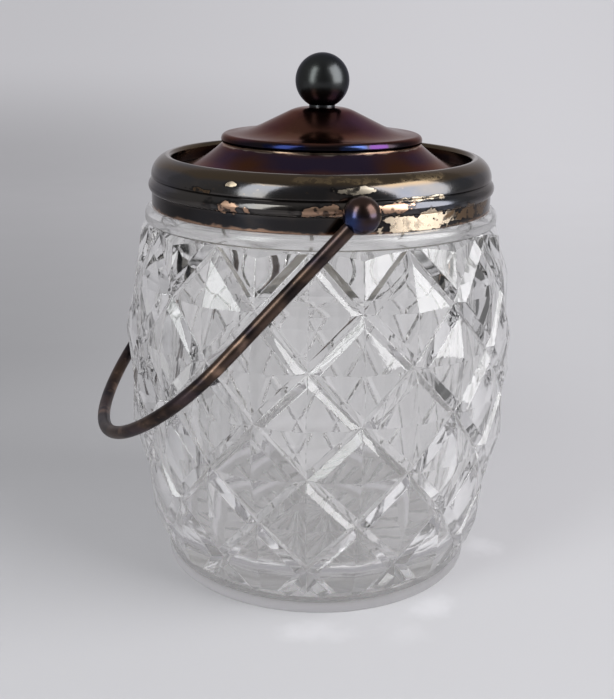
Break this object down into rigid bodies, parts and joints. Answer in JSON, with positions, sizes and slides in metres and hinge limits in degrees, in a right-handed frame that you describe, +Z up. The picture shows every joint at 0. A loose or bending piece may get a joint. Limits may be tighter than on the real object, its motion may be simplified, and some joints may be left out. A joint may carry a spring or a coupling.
{
  "type": "biscuit barrel",
  "caption": "Barrel-shaped cut-glass jar with a diamond lattice, a spun metal collar, a lift-off stepped lid with a ball finial and a swinging bail handle.",
  "frame": {"origin": "on the jar's axis, in the plane of the foot ring that it stands on", "axes": "+Z up along the jar's axis; the bail's pivots lie along Y, with the front one at -Y; the bail hangs towards -X"},
  "size_m": [0.1452, 0.1386, 0.1753],
  "materials": {
    "glass": "clear, cut and polished",
    "plate": "tarnished silver plate on brass, worn through in places",
    "dark_plate": "silver plate tarnished to a glossy black",
    "bail": "tarnished silver plate, bronze-brown",
    "brass": "plain turned brass, dulled",
    "plaster": "dry plaster"
  },
  "bodies": {
    "jar": {"glass_jar": "glass", "plaster_bed": "plaster", "collar": "plate", "pivot_stud_front": "brass", "pivot_stud_rear": "brass", "stud_burr_front": "brass", "stud_burr_rear": "brass"},
    "lid": {"lid_shell": "plate", "lid_ring": "plate", "finial_ball": "dark_plate", "finial_stud": "brass", "finial_washer": "brass", "finial_nut": "brass"},
    "bail": {"bail_rod": "bail", "bail_ball_front": "bail", "bail_ball_rear": "bail"}
  },
  "joints": [
    {"name": "bail_swing", "type": "hinge", "parent": "jar", "child": "bail", "pos_m": [0, 0, 0.133], "axis": [0, 1, 0], "range_deg": [-5.5, 278.5]},
    {"name": "lid_lift", "type": "slide", "parent": "jar", "child": "lid", "axis": [0, 0, 1], "range_m": [0, 0.1]}
  ]
}
